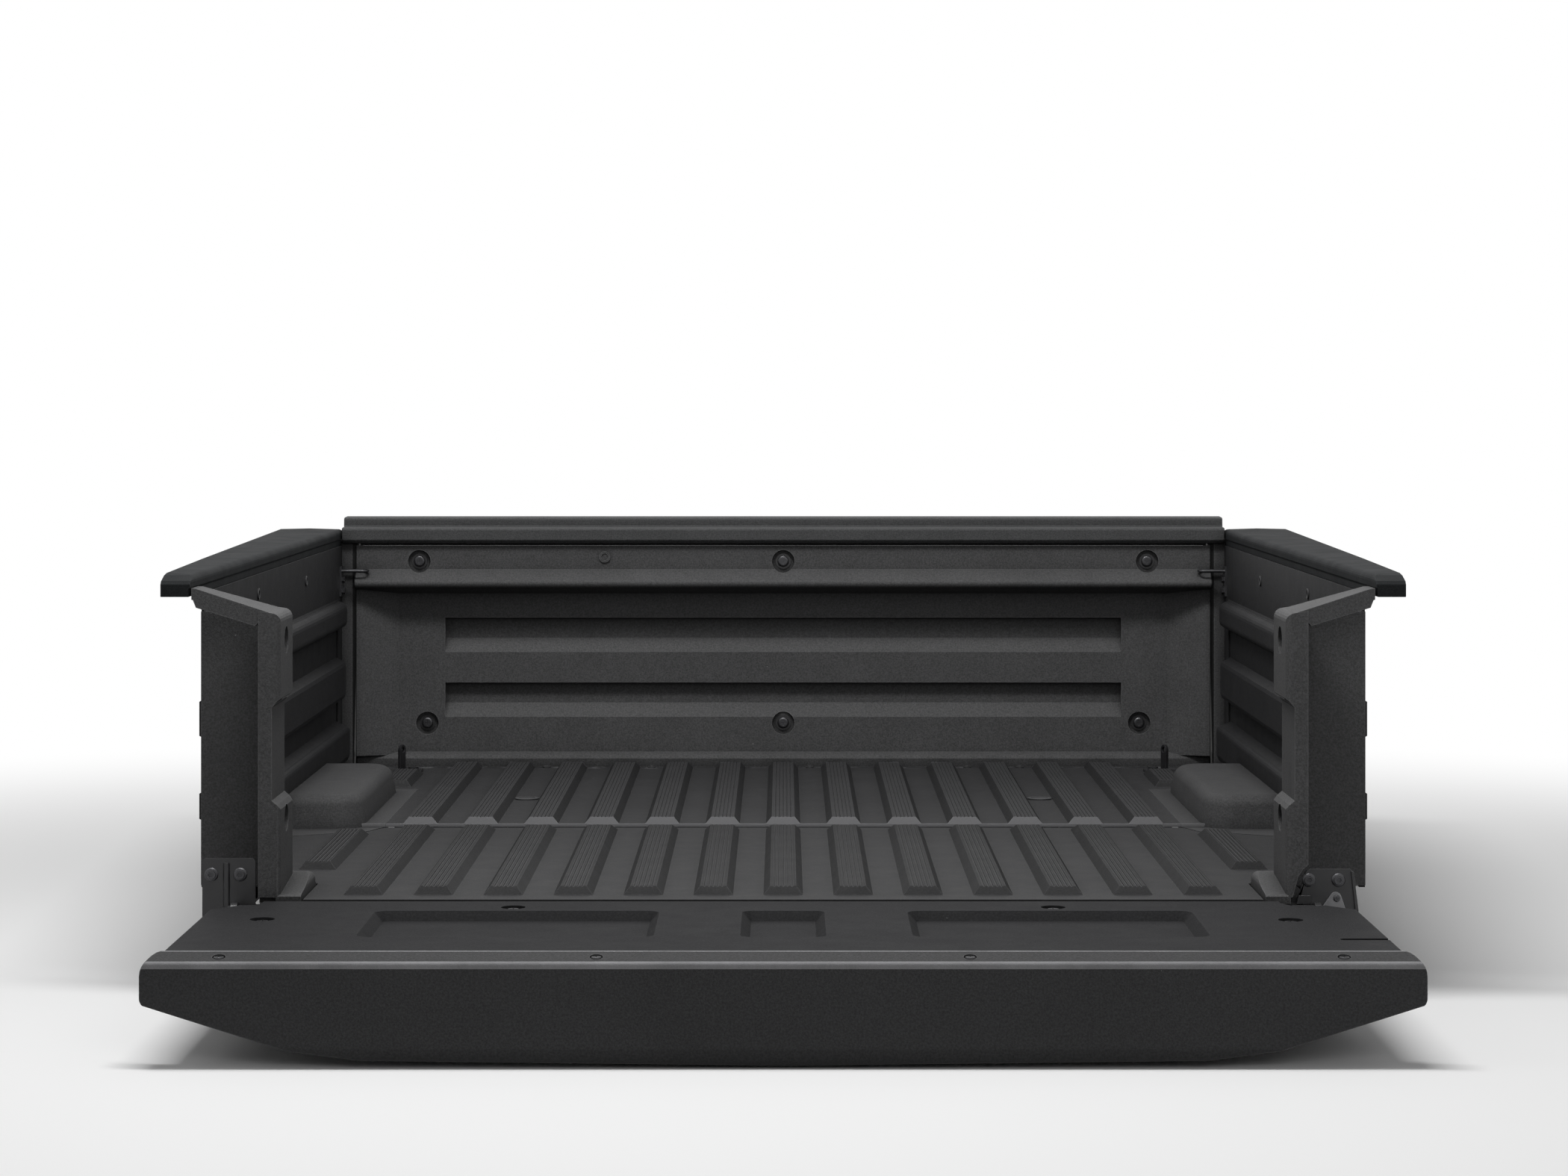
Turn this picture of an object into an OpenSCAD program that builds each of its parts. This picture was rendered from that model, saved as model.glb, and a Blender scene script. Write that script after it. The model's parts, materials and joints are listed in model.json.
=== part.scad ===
// Cargo-bed lining set for a pickup: ribbed floor with a lift-up rear section,
// bulkhead, sides, rail caps, pillar trims and a lined drop-down tailgate.
// "Bed coordinates" start at the middle of the floor's rear edge, on the floor's
// surface between two ribs: +X right, +Y towards the bulkhead, +Z up.

/* [Bed] */
// Length of the floor from the tailgate edge to the bulkhead
bed_length = 1615; // [1560:5:1680]
// Distance from the centre line to the side wall's main plane
wall_x = 781; // [776:1:790]
// Height of the rail caps' top above the floor
rail_top = 426; // [415:1:440]
// Height of the bulkhead trim's top above the floor
bulkhead_top = 447; // [442:1:460]
// Wall thickness of the large mouldings
skin = 4; // [3:0.5:5]

/* [Floor] */
// Thickness of the floor panels
floor_t = 5; // [4:0.5:6]
// Distance between neighbouring floor ribs
rib_pitch = 93; // [90:1:95]
// Number of ribs on each side of the middle one
ribs_each_side = 6; // [5:1:6]
// Width of a rib at its foot
rib_foot = 53; // [46:1:56]
// Width of a rib at its top
rib_head = 35; // [32:1:38]
// Height of the ribs above the floor
rib_h = 11; // [8:0.5:12]
// Depth of the fine grooves on top of the ribs
groove_d = 1.2; // [0.6:0.1:1.5]
// Where the lift-up rear section ends
seam_y = 772; // [768:1:774]
// Height of the front floor above the lift-up section
front_raise = 5; // [4:0.5:6]
// Half width of the lift-up section between the wall feet
lid_half = 738; // [730:1:740]
// Half width of the lift-up section between the pillar trims
lid_rear_half = 632; // [600:1:633]

/* [Wheel arches] */
// Inner edge of a wheel arch, from the centre line
arch_x = 612; // [610:1:625]
// Rear end of a wheel arch
arch_y0 = 748; // [746:1:760]
// Front end of a wheel arch
arch_y1 = 1250; // [1200:5:1252]
// Height of a wheel arch above the floor
arch_h = 68; // [55:1:70]

/* [Tailgate] */
// Reach of the open tailgate behind the floor's edge
gate_reach = 464; // [455:1:475]
// Half width of the tailgate's top cap
cap_half = 762; // [755:1:770]
// Half width of the tailgate's lining
gate_half = 739; // [735:1:741]
// Depth of the top cap at its middle
cap_depth = 130; // [120:1:135]

/* [Hinges] */
// Tailgate hinge pin radius
gate_pin_r = 6; // [5:0.5:7]
// Lid hinge pin radius
lid_pin_r = 2.5; // [2:0.25:3]
// Radial running clearance in the hinge eyes
run_gap = 0.06; // [0.03:0.01:0.1]

/* [Hidden] */
charcoal = [0.20, 0.20, 0.20];
cap_grey = [0.24, 0.25, 0.26];
steel_black = [0.11, 0.11, 0.12];
steel_dark = [0.32, 0.32, 0.34];
rubber_black = [0.06, 0.06, 0.06];

// The rear rest face under the floor is the origin of the part.
rest_drop = 34;
bar_drop = rest_drop + front_raise - floor_t;
rest_y = 32;

gate_axis = [-16, -14];
lid_axis = [seam_y, -floor_t];
floor_start = seam_y + 4;
rail_w_rear = 39;
rail_w_front = 112;
post_y = bed_length - 27;
panel_end_y = 1536;
trim_in = 662;
trim_out = 691;
trim_y0 = 2;
trim_y1 = 120;
trim_top = 377;
arch_r = 50;
arch_round = 30;
hinge_xs = [-4.5 * rib_pitch, 4.5 * rib_pitch];
screw_top_z = 370;
screw_low_z = 82;
screw_top_x = 644;
screw_low_x = 632;
eps = 0.01;

// ---------- helpers ----------

// Moves bed coordinates into the part's own frame.
module in_bed() translate([0, -rest_y, rest_drop]) children();

// Extrudes an outline drawn in Y and Z along X, from x0 to x1.
module along_x(x0, x1)
    translate([x0, 0, 0]) rotate([90, 0, 90]) linear_extrude(x1 - x0) children();

// Extrudes an outline drawn in X and Z along Y, from y0 to y1.
module along_y(y0, y1)
    translate([0, y1, 0]) rotate([90, 0, 0]) linear_extrude(y1 - y0) children();

// Extrudes an outline drawn in X and Y along Z, from z0 to z1.
module along_z(z0, z1) translate([0, 0, z0]) linear_extrude(z1 - z0) children();

module both_sides() {
    children();
    mirror([1, 0, 0]) children();
}

// A box given by two corners.
module box(low, high) translate(low) cube(high - low);

// Points of an arc, from angle a0 to a1.
function arc(cx, cy, r, a0, a1, n = 6) =
    [for (i = [0:n]) let (a = a0 + (a1 - a0) * i / n) [cx + r * cos(a), cy + r * sin(a)]];

function mirror_x(points) = [for (i = [len(points) - 1:-1:0]) [-points[i][0], points[i][1]]];
function symmetric(points) = concat(points, mirror_x(points));

// A cylinder along Y or X, centred on its start point.
module rod_y(x, y0, y1, z, r, fn = 32)
    translate([x, y1, z]) rotate([90, 0, 0]) cylinder(r = r, h = y1 - y0, $fn = fn);
module rod_x(x0, x1, y, z, r, fn = 32)
    translate([x0, y, z]) rotate([0, 90, 0]) cylinder(r = r, h = x1 - x0, $fn = fn);

// ---------- floor ----------

// Cross-section of one rib, with its fine grooves when grooved is true.
function rib_outline(x, h, grooved) =
    let (n = 5, step = rib_head / (n + 1), w = 2.2)
    concat(
        [[x - rib_foot / 2, -eps], [x - rib_head / 2, h]],
        grooved ? [for (i = [1:n], p = [[-w / 2, 0], [-w / 4, -groove_d], [w / 4, -groove_d], [w / 2, 0]])
            [x - rib_head / 2 + i * step + p[0], h + p[1]]] : [],
        [[x + rib_head / 2, h], [x + rib_foot / 2, -eps]]);

// Ribs at the places xs from y0 to y1, with ends that slope over run0 and run1.
module ribs(xs, y0, y1, h, run0 = rib_h, run1 = rib_h, grooved = true)
    intersection() {
        along_y(y0, y1) for (x = xs) polygon(rib_outline(x, h, grooved));
        along_x(-800, 800) polygon([[y0, -1], [y0 + run0, rib_h + 1], [y1 - run1, rib_h + 1], [y1, -1]]);
    }

full_ribs = [for (i = [-ribs_each_side:ribs_each_side]) i * rib_pitch];
edge_rib_x = 652;
lid_rib_end = seam_y - 24;
lid_rim_in = 24;
knuckle_room_r = 5.6;
plug_at = [418, 1107];

lid_outline = symmetric([
    [lid_rear_half, 3], [lid_rear_half, 155], [lid_half, 160], [lid_half, 664],
    [684, 697], [650, 703], [636, 712], [627, 730], [617, 758], [608, seam_y]]);

// Space that a lid hinge's knuckles turn in.
module knuckle_room(r)
    for (x = hinge_xs) rod_x(x - 20, x + 20, lid_axis[0], lid_axis[1], r);

// Outline of the lid drawn in by about d on every side.
function lid_inset(d) = symmetric([
    [lid_rear_half - d, 3 + d], [lid_rear_half - d, 155 + d], [lid_half - d, 160 + d],
    [lid_half - d, 664 - d],
    [676 - d, 690 - d], [608 - d, 712 - d / 2], [608 - d, seam_y - 5 - d]]);

module rear_floor_lid() color(charcoal) in_bed() difference() {
    union() {
        along_z(-floor_t, 0) polygon(lid_outline);
        ribs(full_ribs, 44, lid_rib_end, rib_h, rib_h, 33);
        ribs([-edge_rib_x, edge_rib_x], 292, 688, rib_h, rib_h, 22);
        // Turned-down rim that stiffens the lid all round
        along_z(-16, -floor_t + eps) difference() {
            polygon(lid_inset(lid_rim_in));
            polygon(lid_inset(lid_rim_in + skin));
        }
    }
    translate([0, 0, -floor_t - eps]) {
        ribs(full_ribs, 46, lid_rib_end - 2, rib_h + eps, rib_h, 33, false);
        ribs([-edge_rib_x, edge_rib_x], 294, 686, rib_h + eps, rib_h, 22, false);
    }
    knuckle_room(knuckle_room_r);
}

front_outline = symmetric([
    [611, floor_start], [611, arch_y1 + 2], [wall_x - 4, arch_y1 + 2], [wall_x - 4, bed_length + 6]]);

// Lifts what stands on the front floor, which is higher than the lid.
module raised() translate([0, 0, front_raise]) children();

module front_floor_panel() color(charcoal) in_bed() raised() difference() {
    union() {
        along_z(-floor_t, 0) polygon(front_outline);
        ribs(full_ribs, floor_start, 1592, rib_h, 4);
        ribs([-edge_rib_x, edge_rib_x], 1283, 1485, rib_h, rib_h, 15);
    }
    translate([0, 0, -floor_t - eps]) {
        ribs(full_ribs, floor_start + 5, 1590, rib_h + eps, 4, rib_h, false);
        ribs([-edge_rib_x, edge_rib_x], 1285, 1483, rib_h + eps, rib_h, 15, false);
    }
    both_sides() translate([plug_at[0], plug_at[1], -12]) cylinder(r = 17, h = 20, $fn = 48);
    both_sides() translate([floor_bolt[0], floor_bolt[1], -12]) cylinder(r = bolt_r + 0.2, h = 20, $fn = 24);
}

// Hat-section bars under the front floor, which stand on the cargo bed.
module floor_crossbars() color(steel_black) in_bed() for (y = [930, 1170, 1410, 1580])
    translate([0, 0, front_raise - floor_t]) along_x(-590, 590) difference() {
        polygon([[y - 24, -3], [y - 24, 0], [y + 24, 0], [y + 24, -3], [y + 17, -3],
            [y + 11, -bar_drop], [y - 11, -bar_drop], [y - 17, -3]]);
        polygon([[y - 13, -3], [y + 13, -3], [y + 8, 3 - bar_drop], [y - 8, 3 - bar_drop]]);
    }

module floor_plugs() color(cap_grey) in_bed() raised()
    both_sides() translate([plug_at[0], plug_at[1], 0]) {
        difference() {
            cylinder(r = 19.5, h = 2, $fn = 48);
            translate([0, 0, 1.2]) cylinder(r = 14, h = 2, $fn = 48);
        }
        translate([0, 0, -floor_t - 3]) cylinder(r = 16.8, h = floor_t + 3 + eps, $fn = 48);
    }

// Foot flange of a wheel arch, cut round the corner of the lid.
arch_flange = [
    [608, 786], [613, 776], [621, 760], [630, 732], [639, 715], [652, 706.5], [685, 700.5],
    [lid_half + 3, 668], [wall_x - 6, 668], [wall_x - 6, arch_y1 + 4], [608, arch_y1 + 4]];

// Dome of a wheel arch drawn in by d: leaning faces, rounded corners and top edges.
module arch_dome(d) {
    lean = 5;
    under = floor_t + (d > 0 ? 1 : 0);
    out_x = wall_x - 6 + (d > 0 ? 1 : 0);
    hull() for (end = [0, 1]) {
        foot_y = end == 0 ? arch_y0 + arch_r : arch_y1 - arch_r;
        side_y = end == 0 ? arch_y0 + d : arch_y1 - d - 1;
        top_y = end == 0 ? arch_y0 + lean + arch_round : arch_y1 - lean - arch_round;
        translate([arch_x + arch_r, foot_y, -under]) cylinder(r = arch_r - d, h = under, $fn = 48);
        box([out_x - 20, side_y, -under], [out_x, side_y + 1, 0]);
        translate([arch_x + lean + arch_round, top_y, arch_h - arch_round])
            sphere(r = arch_round - d, $fn = 40);
        rod_x(out_x - 20, out_x, top_y, arch_h - arch_round, arch_round - d, 40);
    }
}

module wheel_arch_cover() difference() {
    union() {
        along_z(-floor_t, 0) polygon(arch_flange);
        arch_dome(0);
    }
    translate([0, 0, -eps]) arch_dome(skin);
}

module wheel_arch_cover_right() color(charcoal) in_bed() wheel_arch_cover();
module wheel_arch_cover_left() color(charcoal) in_bed() mirror([1, 0, 0]) wheel_arch_cover();

// ---------- sides ----------

// Inner surface of a side wall: distance from the centre line by height.
wall_path = concat(
    [[wall_x, 398], [wall_x, 306]],
    arc(wall_x - 2, 288, 14, 90, 180, 5), arc(wall_x - 4, 268, 12, 180, 258, 5),
    [[wall_x + 3, 250], [wall_x + 3, 204], [wall_x - 12, 196], [wall_x - 14, 190],
     [wall_x - 14, 140], [wall_x - 11, 133], [wall_x + 3, 126], [wall_x + 3, 92]],
    arc(wall_x - 12, 76, 9, 90, 180, 4),
    [[wall_x - 21, 34], [wall_x - 17, 24], [wall_x - 4, 20], [wall_x - 4, 0]]);

function shifted(points, d) = [for (i = [len(points) - 1:-1:0]) [points[i][0] + d, points[i][1]]];

module side_panel() {
    difference() {
        union() {
            along_y(trim_y1, panel_end_y) polygon(concat(wall_path, shifted(wall_path, skin)));
            // Flat front end of the wall, where the ribs run out
            box([wall_x, panel_end_y - eps, 0], [wall_x + skin, post_y + 4, 398]);
            // End faces that close the ribs
            along_y(panel_end_y - skin, panel_end_y)
                polygon(concat(wall_path, [[wall_x + skin, 0], [wall_x + skin, 398]]));
            along_y(trim_y1, trim_y1 + skin)
                polygon(concat(wall_path, [[wall_x + skin, 0], [wall_x + skin, 398]]));
            // Top flange that the rail cap sits on
            box([wall_x, trim_y1, 394], [wall_x + 30, post_y + 4, 398]);
        }
        // The foot stops short of the wheel arch
        box([wall_x - 40, 668, -1], [wall_x + 20, arch_y1 + 4, 21]);
        box([wall_x - 40, arch_y0 - 4, -1], [wall_x - 5.5, arch_y1 + 4, arch_h + 2]);
        // Bolt holes of the tie-down hook
        for (z = hook_bolt_zs) rod_x(wall_x - 5, wall_x + 10, hook_y, z, bolt_r + 0.2, 24);
    }
    // Inward foot flange beside the lid
    box([lid_half + 3, 165, -floor_t], [wall_x - 4, 664, 0]);
    box([wall_x - 4 - eps, 165, -floor_t], [wall_x, 664, 1]);
    // Foot that ties the wall to the front floor's edge
    box([wall_x - 4, arch_y1 + 8, -4], [wall_x, post_y, 1]);
}

module side_panel_right() color(charcoal) in_bed() side_panel();
module side_panel_left() color(charcoal) in_bed() mirror([1, 0, 0]) side_panel();

// Section across a rail cap: crowned top, rounded inner edge and a lip line.
rail_profile = concat(
    [[wall_x + 1.5, 398], [wall_x + 1.5, 408], [wall_x, 409.5]],
    arc(wall_x + 9, rail_top - 9, 9, 180, 90, 5),
    [[wall_x + 60, rail_top + 1.5], [wall_x + 130, rail_top], [wall_x + 130, 398]]);

function rail_plan(d) = [
    [wall_x - 5 + d, 4 + d], [wall_x + rail_w_rear - d, 4 + d],
    [wall_x + rail_w_front - d, bed_length - d], [wall_x - 5 + d, bed_length - d]];

// Side view that lets the cap's rear end fall away.
function rail_side(d) = [
    [0, 390], [0, rail_top - 14 - d], [10, rail_top - 7 - d], [40, rail_top - 1 - d],
    [90, rail_top + 3 - d], [bed_length + 5, rail_top + 3 - d], [bed_length + 5, 390]];

module rail_cap() difference() {
    intersection() {
        along_y(0, bed_length) polygon(rail_profile);
        along_z(390, 440) polygon(rail_plan(0));
        along_x(wall_x - 10, wall_x + 140) polygon(rail_side(0));
    }
    intersection() {
        along_y(-5, bed_length + 5) polygon([for (p = rail_profile)
            [p[0] < wall_x + 20 ? p[0] + skin : p[0] - 0.01, p[1] - skin]]);
        along_z(385, 440) polygon(rail_plan(skin + 1));
        along_x(wall_x - 10, wall_x + 140) polygon([for (p = rail_side(skin)) [p[0], p[1] - 6]]);
    }
}

module rail_cap_right() color(cap_grey) in_bed() rail_cap();
module rail_cap_left() color(cap_grey) in_bed() mirror([1, 0, 0]) rail_cap();

// ---------- bulkhead ----------

bulkhead_half = 756;
field_y = bed_length - 3;
ledge_y = field_y - 22;

// Everything behind the bulkhead's front surface, or behind its back surface when shift is the
// wall thickness: then the cut-outs grow by g, so that their walls get a thickness too.
module bulkhead_mass(shift) translate([0, shift, 0]) difference() {
    g = shift * 0.75;
    along_x(-bulkhead_half, bulkhead_half) polygon(concat(
        [[field_y + 60, front_raise], [field_y - 10, front_raise], [field_y - 10, 20], [field_y - 7, 26],
         [field_y, 31], [field_y, 312 + g]],
        arc(field_y - 39, 332, 8 - g, -75, -231, 9),
        [[ledge_y, 356 - g], [ledge_y, 398], [field_y + 60, 398]]));
    // Two long channels with a sloped lower face
    for (z = [93, 208])
        along_x(-600 - g, 600 + g) polygon([[field_y - 1, z - g], [field_y, z - g],
            [field_y + 15, z + 24 - g], [field_y + 15, z + 58 + g], [field_y, z + 61 + g],
            [field_y - 1, z + 61 + g]]);
    // Round seats of the screws
    for (x = [-screw_top_x, 0, screw_top_x]) rod_y(x, ledge_y - 20, ledge_y + 8, screw_top_z, 20 + g, 48);
    for (x = [-screw_low_x, 0, screw_low_x]) rod_y(x, field_y - 20, field_y + 8, screw_low_z, 20 + g, 48);
}

// Ramps at both ends of the recessed field.
module bulkhead_ramps(shift) translate([0, shift, 0]) both_sides()
    along_z(26 + shift, 334 - shift) polygon([[682, field_y + eps], [748, ledge_y - 1],
        [bulkhead_half, ledge_y - 1], [bulkhead_half, field_y + 60], [682, field_y + 60]]);

module bulkhead_panel() color(charcoal) in_bed() difference() {
    union() {
        bulkhead_mass(0);
        bulkhead_ramps(0);
    }
    bulkhead_mass(skin);
    bulkhead_ramps(skin);
    box([-800, field_y + 24, -1], [800, field_y + 80, 420]);
    for (x = [-screw_top_x, 0, screw_top_x]) rod_y(x, ledge_y, field_y + 30, screw_top_z, 4.2, 24);
    for (x = [-screw_low_x, 0, screw_low_x]) rod_y(x, field_y, field_y + 30, screw_low_z, 4.2, 24);
    rod_y(-316, ledge_y - 5, ledge_y + 30, 378, 7, 32);
}

// Calls its child at each bulkhead screw, on the floor of its round seat.
module at_bulkhead_screws() {
    for (x = [-screw_top_x, 0, screw_top_x]) translate([x, ledge_y + 8, screw_top_z]) children();
    for (x = [-screw_low_x, 0, screw_low_x]) translate([x, field_y + 8, screw_low_z]) children();
}

module bulkhead_washers() color(steel_dark) in_bed() at_bulkhead_screws()
    rotate([90, 0, 0]) difference() {
        cylinder(r = 13.5, h = 1.6, $fn = 48);
        translate([0, 0, -1]) cylinder(r = 4.2, h = 4, $fn = 32);
    }

// Pan-head screw, head at the origin's -Y side, with a cross recess.
module pan_screw(head_r, head_h, shank_r, shank_l) {
    rotate([90, 0, 0]) difference() {
        rotate_extrude($fn = 48) polygon(concat([[0, 0], [head_r, 0]],
            arc(head_r - head_h * 0.7, head_h * 0.3, head_h * 0.7, 0, 90, 4), [[0, head_h]]));
        for (a = [0, 90]) rotate([0, 0, a])
            translate([-head_r * 0.5, -head_r * 0.11, head_h - 2]) cube([head_r, head_r * 0.22, 3]);
    }
    rotate([-90, 0, 0]) cylinder(r = shank_r, h = shank_l, $fn = 32);
}

module bulkhead_screws() color(steel_dark) in_bed() at_bulkhead_screws()
    translate([0, -1.6, 0]) pan_screw(10, 5, 4, 32);

module bulkhead_plug() color(charcoal) in_bed() translate([-316, ledge_y, 378]) rotate([90, 0, 0]) {
    difference() {
        cylinder(r = 10, h = 2.5, $fn = 40);
        translate([0, 0, 1]) cylinder(r = 6, h = 3, $fn = 40);
    }
    translate([0, 0, -9]) cylinder(r = 6.9, h = 9 + eps, $fn = 40);
}

module bulkhead_top_trim() color(charcoal) in_bed() difference() {
    union() {
        along_x(-762, 762) polygon(concat(
            [[field_y + 40, 402], [ledge_y - 6, 402], [ledge_y - 12, 408]],
            arc(ledge_y - 7, 425, 5, 180, 90, 4),
            [[field_y - 2, 431]], arc(field_y + 4, bulkhead_top - 5, 5, 180, 90, 4),
            [[field_y + 40, bulkhead_top + 1]]));
        along_x(-748, 748) polygon([[ledge_y + 3, 398], [ledge_y + 9, 398], [ledge_y + 9, 403],
            [ledge_y + 3, 403]]);
    }
    along_x(-756, 756) polygon([[field_y + 50, 400], [ledge_y + 12, 400], [ledge_y + 12, 406],
        [ledge_y - 6, 411], [ledge_y - 6, 424], [field_y + 4, 427], [field_y + 8, bulkhead_top - 5],
        [field_y + 36, bulkhead_top - 4], [field_y + 36, 406], [field_y + 50, 406]]);
}

module corner_post() {
    along_z(front_raise, 398) polygon(concat(
        [[bulkhead_half, bed_length + 14], [bulkhead_half, bed_length + 10], [760, bed_length + 10],
         [760, post_y + 8]],
        arc(764, post_y + 8, 4, 180, 270, 3),
        [[wall_x, post_y + 4], [wall_x, post_y + 8], [764, post_y + 8], [764, bed_length + 14]]));
}
module corner_post_right() color(charcoal) in_bed() corner_post();
module corner_post_left() color(charcoal) in_bed() mirror([1, 0, 0]) corner_post();

// Push-in clips along the joint of the floor and the bulkhead.
module trim_clips() color(steel_black) in_bed() raised() for (i = [-5, -3, 0, 3, 4])
    translate([(i + 0.5) * rib_pitch, 1590, 0]) {
        cylinder(r = 7, h = 2.5, $fn = 32);
        cylinder(r = 4, h = 4, $fn = 24);
    }

// ---------- pillar trims ----------

// Inner face of a pillar trim by height, with its shallow mid-height notch.
trim_face = concat(
    [[trim_in, 3], [trim_in, 118], [trim_in + 4, 124], [trim_in + 11, 130], [trim_in + 11, 252],
     [trim_in + 5, 260], [trim_in, 264]],
    arc(trim_in + 12, trim_top - 12, 12, 180, 90, 5));

module trim_mass(d) translate([d, d, -d])
    along_y(trim_y0, trim_y1 + 20) polygon(concat([[trim_in, -20]], trim_face,
        [[trim_out + 20, trim_top + 6], [trim_out + 20, -20]]));

module pillar_trim(foot_cut) {
    difference() {
        intersection() {
            trim_mass(0);
            // Rounded rear inner corner
            along_z(3, 400) polygon(concat(arc(trim_in + 9, trim_y0 + 9, 9, 180, 270, 6),
                [[trim_out, trim_y0], [trim_out, trim_y1], [trim_in, trim_y1]]));
        }
        intersection() {
            trim_mass(skin);
            along_z(-5, 400) polygon(concat(arc(trim_in + 9, trim_y0 + 9, 5, 180, 270, 6),
                [[trim_out + 10, trim_y0 + skin], [trim_out + 10, trim_y1 + 20],
                 [trim_in + skin, trim_y1 + 20]]));
        }
        // Round pockets in the inner face
        for (z = [101, 338]) rod_x(trim_in - 20, trim_in + 15, 62, z, 18, 48);
        if (foot_cut) along_y(-5, 40) polygon([[trim_in + 6, -6], [trim_out + 5, -6], [trim_out + 5, 46],
            [trim_out, 46], [trim_out - 7, 40], [trim_out - 13, 31]]);
    }
    // Sleeves of the pockets
    for (z = [101, 338]) difference() {
        rod_x(trim_in + 3.5, trim_in + 16, 62, z, 20, 48);
        rod_x(trim_in + 2, trim_in + 13, 62, z, 18, 48);
    }
    // Sloping wing between the trim's top and the rail
    intersection() {
        along_y(trim_y0, trim_y1) polygon([[trim_in + 14, trim_top - 6], [trim_in + 14, trim_top + 0.4],
            [wall_x - 8, 409], [wall_x + 18, 411], [wall_x + 18, 399], [wall_x - 4, 394], [wall_x - 8, 384],
            [trim_out + 4, 360], [trim_out - 1, 366]]);
        along_z(300, 420) polygon([[trim_in, trim_y0 + 1], [wall_x - 2, trim_y0 + 1], [wall_x - 2, 58],
            [trim_in, trim_y1]]);
    }
    // Return of the trim that reaches the side panel
    box([trim_in + 14, trim_y1 - skin, 3], [wall_x + skin, trim_y1, 372]);
    // Foot bead beside the lid, which rises towards the front
    intersection() {
        along_y(3, 148) polygon(concat([[lid_rear_half + 3, -floor_t]],
            arc(lid_rear_half + 14.5, 8, 11.5, 180, 90, 6), [[trim_in + 3, 19.5], [trim_in + 3, -floor_t]]));
        along_x(600, 700) polygon([[3, -floor_t - 1], [3, 4], [7, 6], [135, 20], [143, 19], [148, 12],
            [148, -floor_t - 1]]);
    }
    // Foot plate that stands on the surround
    box([lid_rear_half + 3, 3, -floor_t - 0.5], [trim_in + 6, 154, 3]);
    box([trim_in + 6 - eps, 14, -floor_t - 0.5], [trim_out, 154, 3]);
}

module pillar_trim_right() color(charcoal) in_bed() pillar_trim(true);
module pillar_trim_left() color(charcoal) in_bed() mirror([1, 0, 0]) pillar_trim(false);

// ---------- surround of the under-floor space ----------

rear_rail_y = [10, 60];
front_rail_y = [seam_y - 36, seam_y + 30];
mount_x = 560;
mount_y = [38, seam_y - 11];
mount_r = 5.5;

module mount_holes(y) for (x = [-mount_x, mount_x])
    translate([x, y, -rest_drop - 1]) cylinder(r = mount_r, h = 8, $fn = 32);

module surround_rear_rail() color(steel_black) in_bed() difference() {
    union() {
        box([-690, rear_rail_y[0], -rest_drop], [690, rear_rail_y[1], -rest_drop + 4]);
        box([-690, rear_rail_y[0], -rest_drop], [690, rear_rail_y[0] + 4, -floor_t - 0.5]);
        box([-620, rear_rail_y[0], -13], [620, rear_rail_y[0] + 10, -9]);
    }
    mount_holes(mount_y[0]);
}

module surround_front_rail() color(steel_black) in_bed() difference() {
    union() {
        box([-600, front_rail_y[0], -rest_drop], [600, front_rail_y[1], -rest_drop + 4]);
        box([-600, front_rail_y[1] - 4, -rest_drop], [600, front_rail_y[1], front_raise - floor_t]);
    }
    mount_holes(mount_y[1]);
}

module surround_side_rail() {
    box([lid_half - 12, 158, -rest_drop], [wall_x - 10, 660, -rest_drop + 4]);
    box([wall_x - 26, 158, -rest_drop], [wall_x - 22, 660, -floor_t]);
    box([lid_half - 12, 158, -13], [wall_x - 22, 660, -9]);
}
module surround_right_rail() color(steel_black) in_bed() surround_side_rail();
module surround_left_rail() color(steel_black) in_bed() mirror([1, 0, 0]) surround_side_rail();

module lid_seal() color(rubber_black) in_bed() {
    box([-618, rear_rail_y[0] + 4, -9], [618, rear_rail_y[0] + 10, -floor_t]);
    both_sides() box([lid_half - 8, 170, -9], [lid_half, 655, -floor_t]);
}

// ---------- tie-downs ----------

bolt_r = 4;
floor_bolt = [646, 1512];
floor_eye = [668, 1528];
floor_eye_z = 38;
floor_eye_r = 5;
hook_y = 1573;
hook_bolt_zs = [320, 340];
hook_z = 354;
hook_wire_r = 2.5;

module floor_tie_down() {
    difference() {
        union() {
            box([632, 1492, 0], [678, 1542, 4]);
            // Upright eye, turned so that its opening faces inwards
            translate([floor_eye[0], floor_eye[1], 0]) rotate([0, 0, -65]) along_y(-2.5, 2.5)
                polygon(concat([[-9, 3], [-9, floor_eye_z]], arc(0, floor_eye_z, 9, 180, 0, 8), [[9, 3]]));
        }
        translate([floor_eye[0], floor_eye[1], 0]) rotate([0, 0, -65])
            rod_y(0, -8, 8, floor_eye_z, floor_eye_r, 32);
        translate([floor_bolt[0], floor_bolt[1], -1]) cylinder(r = bolt_r + 0.2, h = 10, $fn = 24);
    }
}
module floor_tie_down_right() color(steel_dark) in_bed() raised() floor_tie_down();
module floor_tie_down_left() color(steel_dark) in_bed() raised() mirror([1, 0, 0]) floor_tie_down();

module floor_tie_down_bolts() color(steel_dark) in_bed() raised() both_sides()
    translate([floor_bolt[0], floor_bolt[1], 4]) hex_bolt(9, 5.5);

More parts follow.
